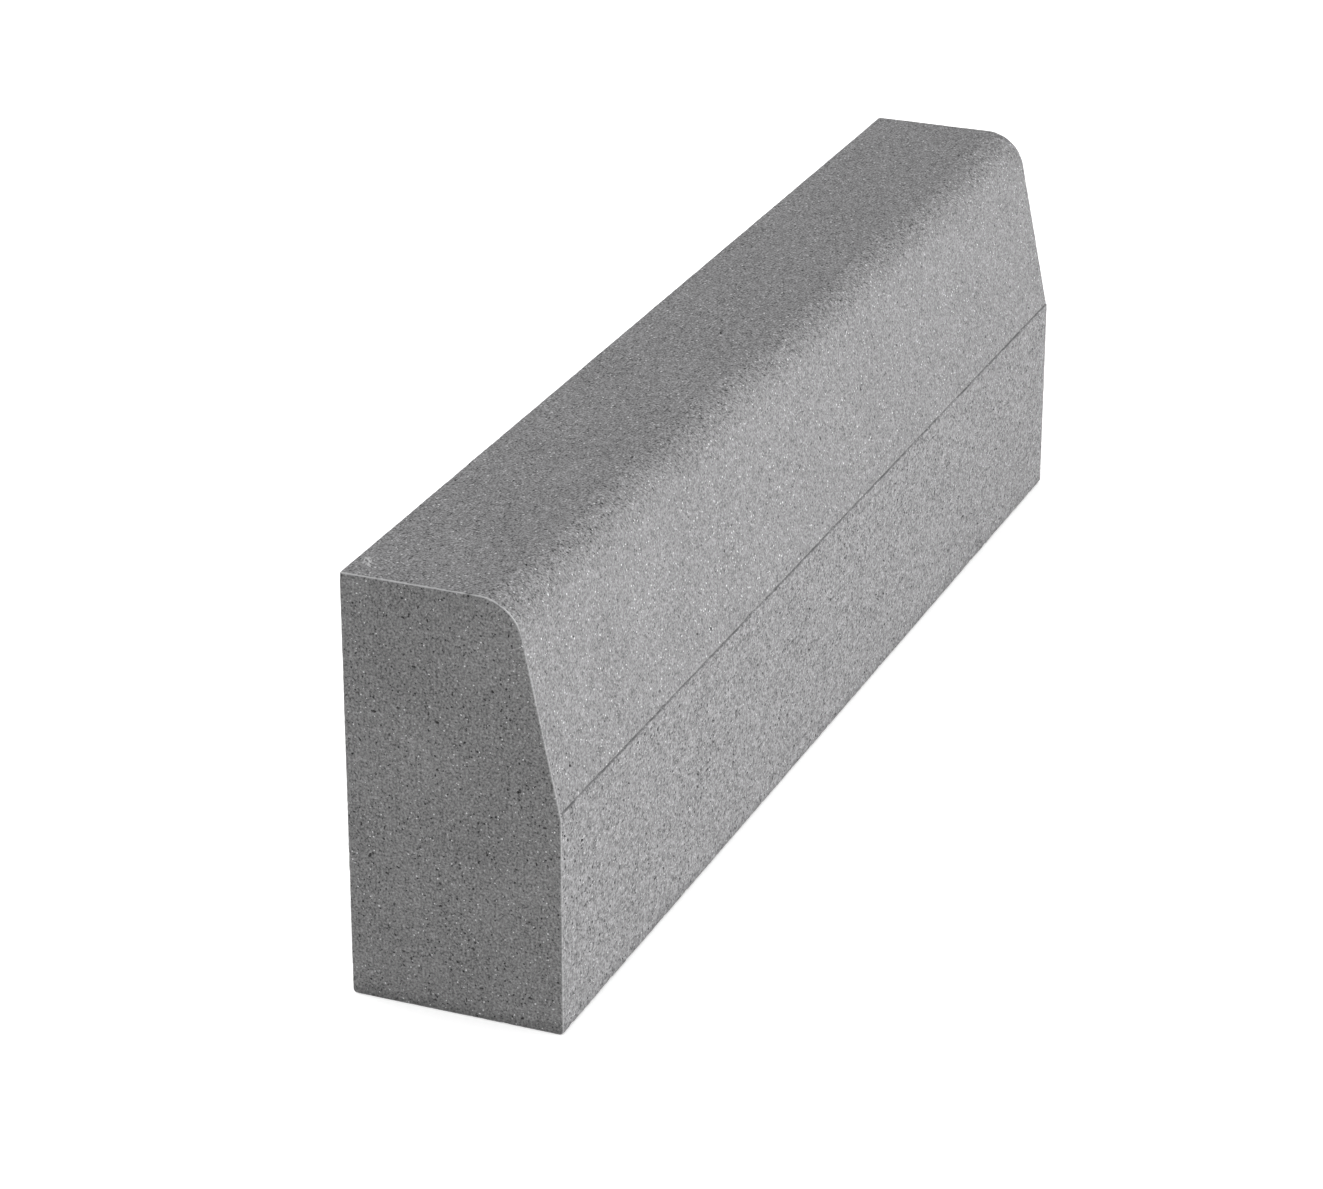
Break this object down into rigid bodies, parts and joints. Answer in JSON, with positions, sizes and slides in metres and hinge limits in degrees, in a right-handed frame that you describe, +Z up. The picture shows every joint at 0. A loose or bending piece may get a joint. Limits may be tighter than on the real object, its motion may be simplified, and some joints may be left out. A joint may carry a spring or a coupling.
{
  "type": "kerb stone",
  "caption": "Straight concrete road kerb with a battered, round-nosed upper road face over an upright lower face, for edging a road or footway.",
  "frame": {"origin": "middle of the bed face, the flat underside", "axes": "+X along the length, +Y from the road face to the upright back face, +Z up from the bed to the top"},
  "size_m": [1, 0.15, 0.3],
  "materials": {
    "concrete": "matt grey pressed concrete with fine pores"
  },
  "bodies": {
    "root": {"kerb_stone": "concrete"}
  },
  "joints": []
}
